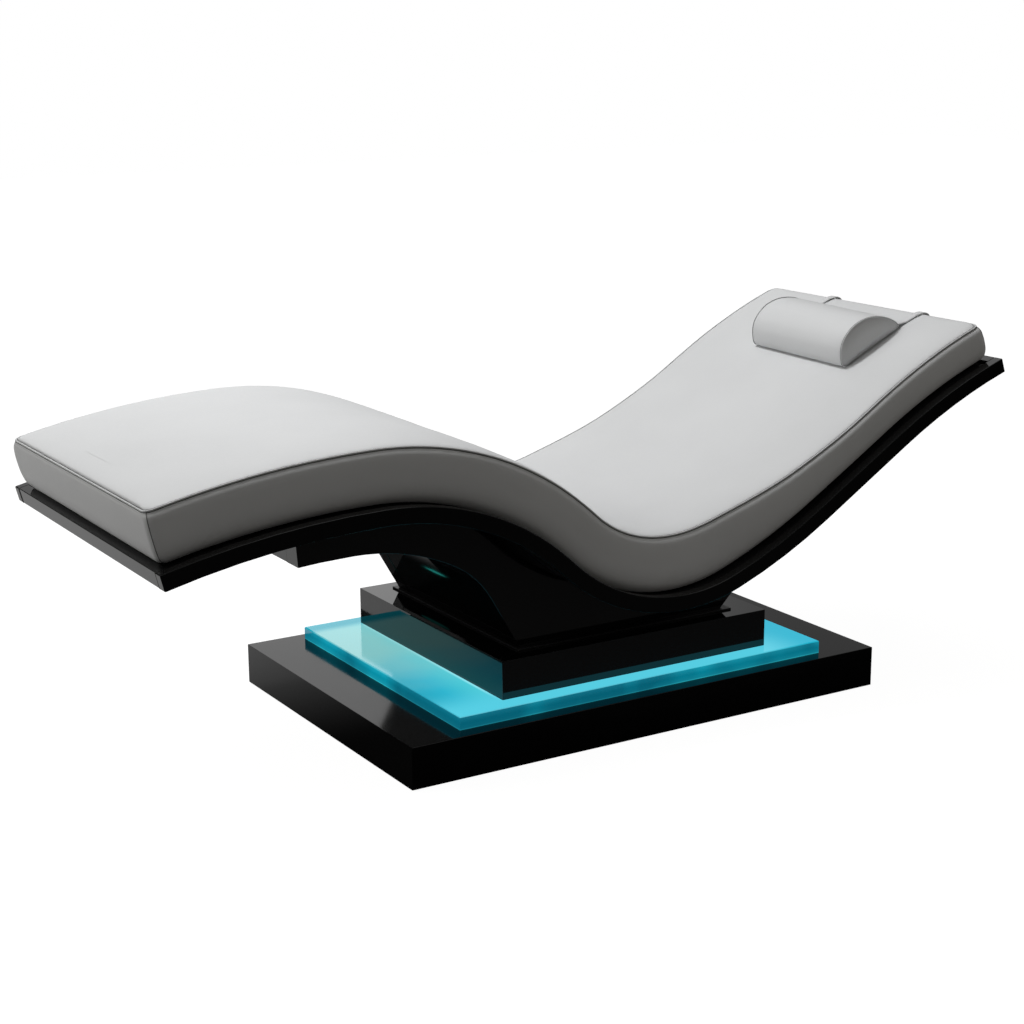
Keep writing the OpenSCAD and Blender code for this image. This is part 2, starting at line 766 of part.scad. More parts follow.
module flange_plate() {
    color(dark)
        difference() {
            slab(flange_size, flange_size, flange_t, z_upper);
            rod_holes();
        }
}

module side_panel(y) {
    across(side_t, y)
        polygon(body(0, s_foot_arm, s_head_arm));
}

module side_panel_near() {
    color(gloss)
        side_panel(-(pedestal_width - side_t) / 2);
}

module side_panel_far() {
    color(gloss)
        side_panel((pedestal_width - side_t) / 2);
}

module foot_skin() {
    color(gloss)
        across(2 * inner_half, 0)
            polygon(concat(foot_edge(skin_recess, s_in_foot), flip(foot_edge(inside, s_in_foot))));
}

module head_skin() {
    color(gloss)
        across(2 * inner_half, 0)
            polygon(concat(head_edge(skin_recess, s_in_head), flip(head_edge(inside, s_in_head))));
}

module foot_cap() {
    color(gloss)
        across(2 * inner_half, 0)
            polygon(band(s_foot_arm, s_in_foot, skin_recess - foot_depth, deck_low));
}

module head_cap() {
    color(gloss)
        across(2 * inner_half, 0)
            polygon(band(s_in_head, s_head_arm, skin_recess - head_depth, deck_low));
}

module pedestal_floor() {
    color(ply)
        difference() {
            across(2 * inner_half, 0)
                intersection() {
                    polygon(body(inside, s_in_foot, s_in_head));
                    translate([-base_length / 2, z_flange])
                        square([base_length, pedestal_floor_t]);
                }
            rod_holes();
        }
}

// A cross wall from x on, cut round the two cleats.
module bulkhead(x) {
    difference() {
        across(2 * inner_half, 0)
            intersection() {
                polygon(body(inside, s_in_foot, s_in_head));
                translate([x, z_flange + pedestal_floor_t])
                    square([bulkhead_t, base_length]);
            }
        for (y = [-cleat_y, cleat_y])
            cleat(cleat_w + 2 * slip, y, slip);
    }
}

module foot_bulkhead() {
    color(ply)
        bulkhead(-bulkhead_x - bulkhead_t / 2);
}

module head_bulkhead() {
    color(ply)
        bulkhead(bulkhead_x - bulkhead_t / 2);
}

module cleat(w, y, gap) {
    across(w, y)
        polygon(band(s_in_foot, s_in_head, deck_low - cleat_h - gap, deck_low + gap));
}

module deck_cleats() {
    color(ply)
        for (y = [-cleat_y, cleat_y])
            cleat(cleat_w, y, 0);
}

module tray_deck() {
    color(ply)
        across(tray_width - 2 * rail_t, 0)
            polygon(band(rail_t, wave_length - rail_t, deck_low, deck_low + deck_t));
}

module side_rail(y) {
    across(rail_t, y)
        polygon(band(0, wave_length, 0, rail_h));
}

module side_rail_near() {
    color(gloss)
        side_rail(-(tray_width - rail_t) / 2);
}

module side_rail_far() {
    color(gloss)
        side_rail((tray_width - rail_t) / 2);
}

module foot_rail() {
    color(gloss)
        across(tray_width - 2 * rail_t, 0)
            polygon(band(joint_step, rail_t, 0, rail_h));
}

module head_rail() {
    color(gloss)
        across(tray_width - 2 * rail_t, 0)
            polygon(band(wave_length - rail_t, wave_length - joint_step, 0, rail_h));
}

module batten(s) {
    across(tray_width - 2 * rail_t, 0)
        polygon(band(s, s + batten_w, joint_step, deck_low));
}

module deck_battens() {
    color(ply) {
        batten(batten_end);
        batten(batten_end + batten_pitch);
        batten(wave_length - batten_end - batten_w);
        batten(wave_length - batten_end - batten_w - batten_pitch);
    }
}

module hook_strips() {
    color(dark)
        for (i = [-1, 0, 1])
            across(strip_w, i * strip_pitch)
                polygon(band(strip_end, wave_length - strip_end, deck_low + deck_t, deck_top));
}

module cushion() {
    color(hide)
        polyhedron(points = cushion_points, faces = cushion_faces, convexity = 8);
}

module neck_pillow() {
    color(hide)
        polyhedron(points = pillow_points, faces = pillow_faces, convexity = 4);
}

module strap(y) {
    across(strap_w, y)
        polygon(thick(strap_path, strap_t));
}

module strap_near() {
    color(hide)
        strap(pillow_off - (pillow_length - strap_w) / 2);
}

module strap_far() {
    color(hide)
        strap(pillow_off + (pillow_length - strap_w) / 2);
}

// The weight's outline or, shrunk by the cover, the bar's.
module weight(inset) {
    translate([x_hang + inset, pillow_off - weight_length / 2 + inset, weight_top - weight_h + inset])
        cube([weight_t - 2 * inset, weight_length - 2 * inset, weight_h - 2 * inset]);
}

module counterweight() {
    color(hide)
        difference() {
            weight(0);
            weight(weight_cover);
        }
}

module weight_bar() {
    color(steel)
        weight(weight_cover);
}

base_casing();
base_floor_panel();
floor_glides();
base_beams();
light_plate();
led_channel();
led_strip();
spacer_board();
led_driver();
led_controller();
power_inlet();
leads();
upper_plinth();
core_ribs();
tie_rods();
tie_nuts();
flange_plate();
side_panel_near();
side_panel_far();
foot_skin();
head_skin();
foot_cap();
head_cap();
pedestal_floor();
foot_bulkhead();
head_bulkhead();
deck_cleats();
tray_deck();
side_rail_near();
side_rail_far();
foot_rail();
head_rail();
deck_battens();
hook_strips();
cushion();
neck_pillow();
strap_near();
strap_far();
counterweight();
weight_bar();
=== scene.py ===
import json
import math

import bmesh
import bpy
from mathutils import Matrix, Vector, noise


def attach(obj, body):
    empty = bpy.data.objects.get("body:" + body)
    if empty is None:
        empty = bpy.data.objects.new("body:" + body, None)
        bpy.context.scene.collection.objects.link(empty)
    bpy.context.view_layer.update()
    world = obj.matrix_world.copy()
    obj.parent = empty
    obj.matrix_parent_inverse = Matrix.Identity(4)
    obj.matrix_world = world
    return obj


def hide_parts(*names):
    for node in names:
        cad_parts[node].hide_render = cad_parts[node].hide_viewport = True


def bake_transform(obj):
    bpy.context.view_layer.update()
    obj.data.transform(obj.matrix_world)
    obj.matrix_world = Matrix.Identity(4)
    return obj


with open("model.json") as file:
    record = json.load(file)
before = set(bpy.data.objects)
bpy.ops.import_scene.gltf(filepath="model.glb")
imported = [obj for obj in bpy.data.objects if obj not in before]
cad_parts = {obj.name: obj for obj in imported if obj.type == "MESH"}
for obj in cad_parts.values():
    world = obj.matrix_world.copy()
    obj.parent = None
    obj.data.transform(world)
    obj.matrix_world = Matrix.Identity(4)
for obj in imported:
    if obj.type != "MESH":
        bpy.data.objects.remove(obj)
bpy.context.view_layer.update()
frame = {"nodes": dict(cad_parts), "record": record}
nodes = frame["nodes"]
MM = 0.001

# The wave of the tray's underside, in millimetres, as the part has it
FOOT_X, FOOT_Z, FOOT_SLOPE = -1081, 488.3, math.radians(14.2)
BENDS = (-1 / 1870, -1 / 567, 0, 1 / 419, 1 / 1283, 0, -1 / 1398)
TURNS = (13.7, 43, 0, 62.9, 11.7, 0, 13.1)
LINES = (0, 0, 25, 0, 0, 253, 0)
RUNS = [LINES[i] if BENDS[i] == 0 else math.radians(TURNS[i]) / abs(BENDS[i]) for i in range(7)]
SEAM_KNOTS = (0, 0.38, 0.595, 0.83, 1)
SEAM_HEIGHTS = (138, 141, 155, 110, 114)
SEAM_HALF, SEAM_FOOT, SEAM_HEAD = 366, 15, 11
# the deck's height in the rails, its thickness and the hook strips on it
DECK_LOW, DECK_T, STRIP_T = 12, 15, 1.5
DECK_TOP = DECK_LOW + DECK_T + STRIP_T
CROWN, CORNER_R, CROWN_END, END_SHARE = 10, 17, 56, 0.6


def travel(place, bend, run):
    x, z, a = place
    if bend == 0:
        return x + run * math.cos(a), z + run * math.sin(a), a
    b = a + bend * run
    return x + (math.sin(b) - math.sin(a)) / bend, z - (math.cos(b) - math.cos(a)) / bend, b


STARTS = [(FOOT_X, FOOT_Z, FOOT_SLOPE)]
MARKS = [0]
for bend, run in zip(BENDS, RUNS):
    STARTS.append(travel(STARTS[-1], bend, run))
    MARKS.append(MARKS[-1] + run)
LENGTH = MARKS[-1]


def pose(s):
    i = 0
    while i < 6 and s >= MARKS[i + 1]:
        i += 1
    return travel(STARTS[i], BENDS[i], s - MARKS[i])


def wave(s, d):
    x, z, a = pose(s)
    return x - d * math.sin(a), z + d * math.cos(a)


def seam_height(s):
    t = min(1, max(0, s / LENGTH))
    i = 0
    while i < 3 and t >= SEAM_KNOTS[i + 1]:
        i += 1
    u = (t - SEAM_KNOTS[i]) / (SEAM_KNOTS[i + 1] - SEAM_KNOTS[i])
    return SEAM_HEIGHTS[i] + (SEAM_HEIGHTS[i + 1] - SEAM_HEIGHTS[i]) * u * u * (3 - 2 * u)


def top(s, gap):
    return wave(s, seam_height(s) + CROWN + gap)


def spline(points, t):
    """A smooth curve through points of any size, with t from 0 to 1."""
    n = len(points) - 1
    i = min(n - 1, int(t * n))
    u = t * n - i
    p0, p1 = points[max(0, i - 1)], points[i]
    p2, p3 = points[i + 1], points[min(n, i + 2)]
    place = []
    for a, b, c, d in zip(p0, p1, p2, p3):
        bow = (2 * a - 5 * b + 4 * c - d) * u * u
        place.append(0.5 * (2 * b + (c - a) * u + bow + (3 * b - a - 3 * c + d) * u ** 3))
    return place


def smooth01(t):
    t = min(1, max(0, t))
    return t * t * (3 - 2 * t)


# Meshes
def mesh_object(name, points, faces, material, smooth=True):
    """points in millimetres."""
    mesh = bpy.data.meshes.new(name)
    mesh.from_pydata([(x * MM, y * MM, z * MM) for x, y, z in points], [], faces)
    mesh.validate()
    mesh.materials.append(material)
    mesh.polygons.foreach_set("use_smooth", [smooth] * len(mesh.polygons))
    obj = bpy.data.objects.new(name, mesh)
    bpy.context.scene.collection.objects.link(obj)
    tidy = bmesh.new()
    tidy.from_mesh(mesh)
    bmesh.ops.recalc_face_normals(tidy, faces=tidy.faces)
    tidy.to_mesh(mesh)
    tidy.free()
    return obj


def tube(points, radius, closed, sides=8, first_up=None):
    """Points and faces of a tube along points, in millimetres."""
    line = [Vector(p) for p in points]
    n = len(line)
    rings, faces = [], []
    up = Vector(first_up or (0, 0, 1))
    for i in range(n):
        before = line[i - 1] if i or closed else line[i]
        after = line[(i + 1) % n] if closed or i < n - 1 else line[i]
        along = (after - before).normalized()
        up = (up - along * up.dot(along)).normalized()
        side = along.cross(up)
        for k in range(sides):
            a = 2 * math.pi * k / sides
            rings.append(line[i] + radius * (math.cos(a) * up + math.sin(a) * side))
    for i in range(n if closed else n - 1):
        j = (i + 1) % n
        for k in range(sides):
            m = (k + 1) % sides
            faces.append((i * sides + k, j * sides + k, j * sides + m, i * sides + m))
    if not closed:
        faces.append(tuple(range(sides)))
        faces.append(tuple((n - 1) * sides + k for k in reversed(range(sides))))
    return rings, faces


def loft(count, n):
    """Faces between rings of n points each."""
    faces = []
    for k in range(count - 1):
        for i in range(n):
            j = (i + 1) % n
            faces.append((k * n + i, k * n + j, (k + 1) * n + j, (k + 1) * n + i))
    return faces


def caps(count, n):
    """The two faces that close a loft."""
    return [tuple(range(n)), tuple((count - 1) * n + i for i in reversed(range(n)))]


def rounded(corners, radius, steps):
    """An outline round four corners, each given by its centre and its first angle in degrees."""
    outline = []
    for u, v, start in corners:
        for k in range(steps + 1):
            a = math.radians(start + 90 * k / steps)
            outline.append((u + radius * math.cos(a), v + radius * math.sin(a)))
    return outline


def joined(parts):
    points, faces = [], []
    for p, f in parts:
        start = len(points)
        points += [tuple(q) for q in p]
        faces += [tuple(i + start for i in face) for face in f]
    return points, faces


# Materials
def new_material(name, color, roughness):
    material = bpy.data.materials.new(name)
    material.use_nodes = True
    shader = material.node_tree.nodes["Principled BSDF"]
    shader.inputs["Base Color"].default_value = (*color, 1)
    shader.inputs["Roughness"].default_value = roughness
    return material, material.node_tree, shader


def add(tree, kind, **values):
    node = tree.nodes.new(kind)
    for key, value in values.items():
        if key in node.inputs:
            node.inputs[key].default_value = value
        else:
            setattr(node, key, value)
    return node


def object_place(tree):
    return add(tree, "ShaderNodeTexCoord").outputs["Object"]


def separate(tree, vector):
    node = add(tree, "ShaderNodeSeparateXYZ")
    tree.links.new(vector, node.inputs["Vector"])
    return node.outputs


def clouds(tree, vector, scale, detail, roughness):
    node = add(tree, "ShaderNodeTexNoise", Scale=scale, Detail=detail, Roughness=roughness)
    tree.links.new(vector, node.inputs["Vector"])
    return node.outputs["Fac"]


def map_range(tree, value, low, high, start=0.0, stop=1.0, smooth=False):
    node = add(tree, "ShaderNodeMapRange")
    if smooth:
        node.interpolation_type = "SMOOTHSTEP"
    for key, number in (("From Min", low), ("From Max", high), ("To Min", start), ("To Max", stop)):
        node.inputs[key].default_value = number
    tree.links.new(value, node.inputs["Value"])
    return node.outputs["Result"]


def compute(tree, operation, *terms):
    """A math node on sockets or plain numbers."""
    node = add(tree, "ShaderNodeMath", operation=operation)
    for slot, term in enumerate(terms):
        if isinstance(term, float):
            node.inputs[slot].default_value = term
        else:
            tree.links.new(term, node.inputs[slot])
    return node.outputs[0]


def mixed(tree, share, below, above):
    """The colour below, shifted by a share towards the colour or socket above."""
    node = add(tree, "ShaderNodeMix", data_type="RGBA")
    tree.links.new(share, node.inputs["Factor"])
    tree.links.new(below, node.inputs[6])
    if isinstance(above, tuple):
        node.inputs[7].default_value = (*above, 1)
    else:
        tree.links.new(above, node.inputs[7])
    return node.outputs[2]


def mirror_ray(tree, path):
    """1 for rays that come from a mirroring or clear surface."""
    return compute(tree, "MAXIMUM", path.outputs["Is Glossy Ray"], path.outputs["Is Transmission Ray"])


def place(tree, scale=(1, 1, 1)):
    """Object coordinates, stretched."""
    mapping = add(tree, "ShaderNodeMapping")
    mapping.inputs["Scale"].default_value = scale
    tree.links.new(object_place(tree), mapping.inputs["Vector"])
    return mapping.outputs["Vector"]


def ramp(tree, source, stops):
    node = add(tree, "ShaderNodeValToRGB")
    elements = node.color_ramp.elements
    while len(elements) < len(stops):
        elements.new(0.5)
    for element, (at, color) in zip(elements, stops):
        element.position = at
        element.color = (*color, 1)
    tree.links.new(source, node.inputs["Fac"])
    return node.outputs["Color"]


def bump(tree, shader, height, strength, distance, before=None):
    node = add(tree, "ShaderNodeBump", Strength=strength, Distance=distance)
    tree.links.new(height, node.inputs["Height"])
    if before is not None:
        tree.links.new(before, node.inputs["Normal"])
    tree.links.new(node.outputs["Normal"], shader.inputs["Normal"])
    return node.outputs["Normal"]


def leather(name, color, shade):
    material, tree, shader = new_material(name, color, 0.5)
    vector = place(tree)
    cloud = clouds(tree, vector, 2.2, 3.0, 0.6)
    tree.links.new(ramp(tree, cloud, [(0.3, shade), (0.72, color)]), shader.inputs["Base Color"])
    pores = add(tree, "ShaderNodeTexVoronoi", Scale=950.0)
    tree.links.new(vector, pores.inputs["Vector"])
    creases = clouds(tree, vector, 160.0, 4.0, 0.55)
    first = bump(tree, shader, pores.outputs["Distance"], 0.16, 0.0004)
    second = bump(tree, shader, creases, 0.12, 0.0008, first)
    bump(tree, shader, clouds(tree, vector, 7.0, 2.0, 0.5), 0.22, 0.006, second)
    sheen = ramp(tree, creases, [(0.35, (0.46,) * 3), (0.65, (0.58,) * 3)])
    tree.links.new(sheen, shader.inputs["Roughness"])
    shader.inputs["Specular IOR Level"].default_value = 0.35
    return material


def lacquer(name, level, low, high):
    """Black lacquer; level is its share of mirrored light, low and high its roughness."""
    material, tree, shader = new_material(name, (0.0035, 0.0035, 0.0038), low)
    vector = place(tree)
    bump(tree, shader, clouds(tree, vector, 130.0, 1.0, 0.4), 0.02, 0.0005)
    rough = ramp(tree, clouds(tree, vector, 9.0, 5.0, 0.65), [(0.35, (low,) * 3), (0.75, (high,) * 3)])
    tree.links.new(rough, shader.inputs["Roughness"])
    shader.inputs["IOR"].default_value = 1.5
    shader.inputs["Specular IOR Level"].default_value = level
    return material


# Where the acrylic's light starts on each axis, and how far it reaches, in metres
LIGHT_REACH = (("X", 0.336, 0.134), ("Y", 0.313, 0.057))
GLOW_STOPS = [(0.0, (0.3, 0.9, 1.0)), (0.03, (0.3, 0.9, 1.0)), (0.06, (0.09, 0.68, 0.78)),
              (0.55, (0.035, 0.52, 0.70)), (1.0, (0.02, 0.42, 0.58))]
# Brighter along the near edge, deeper along the far edge and at the head end
EDGE_SHIFTS = (("Y", -0.2, -0.33, (0.11, 0.70, 0.87)), ("Y", 0.285, 0.325, (0.0, 0.36, 0.46)),
               ("X", 0.3, 0.44, (0.0, 0.50, 0.70)))
# The edges show the light as layers, dark teal between brighter lines at the foot and the top
LAYER_STOPS = [(0.0, (0.02, 0.35, 0.45)), (0.1, (0.004, 0.16, 0.24)), (0.5, (0.0, 0.14, 0.22)),
               (0.9, (0.004, 0.2, 0.3)), (1.0, (0.02, 0.4, 0.52))]
SLAB_LOW, SLAB_HIGH = 0.092, 0.120


def acrylic():
    material, tree, shader = new_material("teal_acrylic", (0.01, 0.3, 0.42), 0.1)
    source = object_place(tree)
    parts = separate(tree, source)
    # The light is strongest at the LED channel and fades towards the slab's edges.
    fades = []
    for axis, half, reach in LIGHT_REACH:
        size = compute(tree, "ABSOLUTE", parts[axis])
        fades.append(map_range(tree, size, half, half + reach))
    inner = ramp(tree, compute(tree, "MAXIMUM", *fades), GLOW_STOPS)
    # A painted highlight: a cloudy whitish stretch on the foot side, painted into the glow where studio light
    # shines off the slab's top.
    stretch = add(tree, "ShaderNodeMapping")
    stretch.inputs["Location"].default_value = (1.93, -0.42, 0)
    stretch.inputs["Scale"].default_value = (4.6, 2.5, 0)
    tree.links.new(source, stretch.inputs["Vector"])
    ball = add(tree, "ShaderNodeVectorMath", operation="LENGTH")
    tree.links.new(stretch.outputs["Vector"], ball.inputs[0])
    cloud = clouds(tree, source, 5.0, 2.0, 0.5)
    uneven = compute(tree, "MULTIPLY_ADD", cloud, 0.7, ball.outputs["Value"])
    painted_highlight = map_range(tree, uneven, 0.5, 1.3, 0.85, 0.0, smooth=True)
    inner = mixed(tree, painted_highlight, inner, (0.30, 0.63, 0.60))
    for axis, start, stop, color in EDGE_SHIFTS:
        inner = mixed(tree, map_range(tree, parts[axis], start, stop, smooth=True), inner, color)
    edge = ramp(tree, map_range(tree, parts["Z"], SLAB_LOW, SLAB_HIGH), LAYER_STOPS)
    patch = ramp(tree, clouds(tree, source, 6.0, 2.0, 0.5), [(0.45, (0.7,) * 3), (0.68, (1.9, 1.8, 1.6))])
    varied = add(tree, "ShaderNodeMix", data_type="RGBA", blend_type="MULTIPLY")
    varied.inputs["Factor"].default_value = 1.0
    tree.links.new(edge, varied.inputs[6])
    tree.links.new(patch, varied.inputs[7])
    facing = add(tree, "ShaderNodeNewGeometry")
    flat = map_range(tree, separate(tree, facing.outputs["Normal"])["Z"], 0.3, 0.9)
    tree.links.new(mixed(tree, flat, varied.outputs[2], inner), shader.inputs["Emission Color"])
    shader.inputs["Emission Strength"].default_value = 0.85
    return material


def wood():
    material, tree, shader = new_material("birch_ply", (0.42, 0.27, 0.13), 0.55)
    grain = clouds(tree, place(tree, (1.5, 14, 40)), 9.0, 6.0, 0.6)
    stops = [(0.3, (0.30, 0.18, 0.085)), (0.5, (0.45, 0.30, 0.155)), (0.75, (0.58, 0.42, 0.24))]
    tree.links.new(ramp(tree, grain, stops), shader.inputs["Base Color"])
    bump(tree, shader, grain, 0.15, 0.0006)
    return material


def metal(name, color, roughness, metallic, stretch, depth):
    """Metal, plastic, felt or paint: streaks along one axis or the same all round."""
    material, tree, shader = new_material(name, color, roughness)
    shader.inputs["Metallic"].default_value = metallic
    streaks = clouds(tree, place(tree, stretch), 60.0, 3.0, 0.6)
    dull = tuple(c * 0.82 for c in color)
    bright = tuple(min(1, c * 1.1) for c in color)
    tree.links.new(ramp(tree, streaks, [(0.3, dull), (0.7, bright)]), shader.inputs["Base Color"])
    bump(tree, shader, streaks, depth, 0.0004)
    return material


def led():
    material, tree, shader = new_material("led", (0.3, 0.8, 0.9), 0.3)
    dots = add(tree, "ShaderNodeTexVoronoi", Scale=90.0)
    tree.links.new(place(tree), dots.inputs["Vector"])
    light = ramp(tree, dots.outputs["Distance"], [(0.2, (0.55, 0.98, 1.0)), (0.6, (0.1, 0.6, 0.75))])
    tree.links.new(light, shader.inputs["Emission Color"])
    shader.inputs["Emission Strength"].default_value = 1.2
    return material


LEATHER = leather("leather_white", (0.70, 0.71, 0.72), (0.655, 0.665, 0.675))
PIPING = leather("leather_piping", (0.66, 0.67, 0.68), (0.61, 0.62, 0.63))
LACQUER = lacquer("gloss_black", 0.5, 0.03, 0.075)
BASE_LACQUER = lacquer("gloss_black_base", 0.22, 0.08, 0.14)
RAIL_LACQUER = lacquer("gloss_black_rail", 0.24, 0.04, 0.09)
ACRYLIC = acrylic()
WOOD = wood()
STEEL = metal("zinc_steel", (0.52, 0.53, 0.55), 0.32, 1.0, (1, 8, 8), 0.1)
BLACK_STEEL = metal("black_steel", (0.012, 0.012, 0.013), 0.38, 0.0, (1, 1, 1), 0.2)
ALUMINIUM = metal("aluminium", (0.68, 0.69, 0.7), 0.3, 1.0, (1, 20, 20), 0.08)
PLASTIC = metal("black_plastic", (0.014, 0.014, 0.015), 0.5, 0.0, (1, 1, 1), 0.3)
FELT = metal("felt", (0.02, 0.02, 0.021), 0.9, 0.0, (6, 6, 6), 0.8)
# A flat dark grey without shine: painted shade in the creases beside the cushion's piping, and the colour of
# the dark rail joints
CREASE_SHADE_AND_JOINT = metal("crease_shade_and_joint", (0.07, 0.07, 0.068), 0.9, 0.0, (10, 10, 10), 0.3)
CREASE_SHADE_AND_JOINT.node_tree.nodes["Principled BSDF"].inputs["Specular IOR Level"].default_value = 0.0
# A dark grey: painted shade in the cushion's corner seams and in the creases beside the pillow's piping
SEAM_SHADE = metal("thread_and_seam_shade", (0.11, 0.11, 0.115), 0.75, 0.0, (10, 10, 10), 0.5)
LED = led()
BLACK_PAINT = metal("black_paint", (0.006, 0.006, 0.0065), 0.3, 0.0, (2, 2, 2), 0.15)
FINISH = {"black_paint": BLACK_PAINT, "gloss_black": LACQUER, "teal_acrylic": ACRYLIC,
          "leather_white": LEATHER, "ply": WOOD, "steel": STEEL, "black_steel": BLACK_STEEL,
          "aluminium": ALUMINIUM, "black_plastic": PLASTIC, "felt": FELT, "led": LED}
SPECIAL = {"base_casing": BASE_LACQUER, "foot_rail": RAIL_LACQUER, "head_rail": RAIL_LACQUER,
           "side_rail_near": RAIL_LACQUER, "side_rail_far": RAIL_LACQUER}
# Width of the rounded edges in millimetres, where it isn't the usual one
BEVEL, BEVEL_ANGLE, WELD = 0.4, math.radians(28), 0.00002
BEVELS = {"base_casing": 1.6, "upper_plinth": 1.6, "side_panel_near": 0.7, "side_panel_far": 0.7,
          "foot_skin": 0.8, "head_skin": 0.8, "foot_cap": 0.2, "head_cap": 0.2,
          "side_rail_near": 1.8, "side_rail_far": 1.8, "foot_rail": 1.5, "head_rail": 1.5,
          "light_plate": 0.6, "flange_plate": 0.8, "floor_glides": 0.6, "power_inlet": 0.5}
for part in frame["record"]["subparts"]:
    node = nodes[part["node"]]
    node.data.materials.clear()
    node.data.materials.append(SPECIAL.get(part["node"], FINISH[part["material_slot"]]))
    if "custom_normal" in node.data.attributes:
        node.data.attributes.remove(node.data.attributes["custom_normal"])
    node.data.polygons.foreach_set("use_smooth", [True] * len(node.data.polygons))
    weld = node.modifiers.new("weld", "WELD")
    weld.merge_threshold = WELD
    bevel = node.modifiers.new("bevel", "BEVEL")
    bevel.width = BEVELS.get(part["node"], BEVEL) * MM
    bevel.segments = 2
    bevel.limit_method = "ANGLE"
    bevel.angle_limit = BEVEL_ANGLE
    bevel.harden_normals = True


# The cushion, as closed rings round its plan from the underside to the crown
SIDE = ((0, 28), (0.02, 19), (0.055, 11.8), (0.12, 3.0), (0.2, -2.8), (0.35, -6.9), (0.5, -8.0), (0.66, -8.0),
        (0.79, -6.8), (0.88, -4.9), (0.935, -2.2), (0.965, 0.4), (0.985, 2.9), (0.99, 5.2))
# The head end stands straight up from the rail that it laps over.
HEAD_FACE = ((0, 17), (0.05, 11), (0.09, 5), (0.16, 1), (0.35, -1.5), (0.6, -2.2), (0.88, -1.6),
             (0.96, 0.6), (0.99, 5.2))
CORNER_STEPS, STATIONS = 8, 170
# The foam lies calmer from here on, under the pillow
CALM_FROM, CALM_REACH, CALM_SHARE = 1850, 80, 0.75
# The cover is drawn in a little at the seam from this share of the height on
PUCKER_FROM, PUCKER_REACH, PUCKER = 0.86, 0.12, 0.25
TOP_COLUMNS = 14


def head_inset(share):
    i = 0
    while i < len(HEAD_FACE) - 2 and share > HEAD_FACE[i + 1][0]:
        i += 1
    (a, low), (b, high) = HEAD_FACE[i], HEAD_FACE[i + 1]
    return low + (high - low) * (share - a) / (b - a)


def plan(inset, foot, head, steps=STATIONS):
    """Places (s, y) round the cushion, moved inwards by inset at the sides, foot and head at the ends."""
    a, b = SEAM_FOOT + foot + CORNER_R, LENGTH - SEAM_HEAD - head - CORNER_R
    h = SEAM_HALF - inset - CORNER_R
    q = CORNER_R
    line = [a + (b - a) * i / steps for i in range(steps + 1)]
    turns = [math.pi / 2 * i / CORNER_STEPS for i in range(1, CORNER_STEPS + 1)]
    places = [(s, -h - q) for s in line]
    places += [(b + q * math.sin(t), -h - q * math.cos(t)) for t in turns]
    places += [(b + q * math.sin(t), h + q * math.cos(t)) for t in reversed(turns)]
    places += [(s, h + q) for s in reversed(line)]
    places += [(a - q * math.sin(t), h + q * math.cos(t)) for t in turns]
    places += [(a - q * math.sin(t), -h - q * math.cos(t)) for t in reversed(turns)]
    return places


def soft(s, y, k):
    """Small unevenness of the foam under the leather, in millimetres."""
    p = Vector((s / 260, y / 170, k))
    calm = 1 - CALM_SHARE * smooth01((s - CALM_FROM) / CALM_REACH)
    return calm * (1.6 * noise.noise(p) + 0.5 * noise.noise(p * 3.1 + Vector((7, 3, 1))))


def cushion_mesh():
    rings = []
    for share, inset in SIDE_FINE:
        pucker = smooth01((share - PUCKER_FROM) / PUCKER_REACH)
        ring = []
        for i, (s, y) in enumerate(plan(inset, inset * END_SHARE, head_inset(share))):
            d = DECK_TOP + (seam_height(s) - DECK_TOP) * share
            x, z = wave(s, d)
            k = soft(s, y + 3 * d, 1) * math.sin(math.pi * min(1, share)) * 0.8
            k += PUCKER * pucker * math.sin(i * 2.3)
            ring.append((x, y * (1 + k / SEAM_HALF), z))
        rings.append(ring)
    for inset, rise in TOP_FINE:
        end = inset / CROWN_IN * CROWN_END if inset > 6 else inset
        end = max(end, min(inset, 6))
        ring = []
        for s, y in plan(inset, end, end):
            k = soft(s, y, 5) * smooth01(inset / 60) * 0.7
            x, z = wave(s, seam_height(s) + rise + k)
            ring.append((x, y, z))
        rings.append(ring)
    n = len(rings[0])
    points = [p for ring in rings for p in ring]
    faces = loft(len(rings), n)
    # The underside and the middle of the top are strips between mirrored points.
    offset = 2 * (STATIONS + CORNER_STEPS) + 1
    for level, rise, columns in ((0, None, 2), (len(rings) - 1, CROWN, TOP_COLUMNS)):
        base = level * n
        ring = rings[level]
        rows = []
        for k in range(-CORNER_STEPS, STATIONS + 1 + CORNER_STEPS):
            i, j = k % n, (offset - k) % n
            row = [base + i]
            a, b = Vector(ring[i]), Vector(ring[j])
            for c in range(1, columns):
                p = a.lerp(b, c / columns)
                if rise:
                    s = S_OF[i]
                    x, z = wave(s, seam_height(s) + CROWN + soft(s, p.y, 5) * 0.7)
                    p = Vector((x, p.y, z))
                row.append(len(points))
                points.append(tuple(p))
            row.append(base + j)
            rows.append(row)
        for r in range(len(rows) - 1):
            for c in range(columns):
                faces.append((rows[r][c], rows[r + 1][c], rows[r + 1][c + 1], rows[r][c + 1]))
    return points, faces


SIDE_FINE = [spline(SIDE, i / 30) for i in range(31)]
CROWN_IN = SEAM_HALF * 0.5
TOP_FINE = ((4.6, -0.6), (5.4, 1.0), (7.5, 2.6), (11, 4.2), (18, 5.6), (30, 7.2), (50, 8.2), (78, 9.0),
            (115, 9.6), (150, 9.9), (CROWN_IN, CROWN))
S_OF = [s for s, y in plan(CROWN_IN, CROWN_END, CROWN_END)]
points, faces = cushion_mesh()
cushion = mesh_object("cushion_cover", points, faces, LEATHER)
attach(cushion, "lounger")
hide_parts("cushion")

# The piping runs round the whole seam.
PIPE_R, PIPE_IN, PIPE_RISE, PIPE_STATIONS = 1.9, 3.0, 0.9, 230


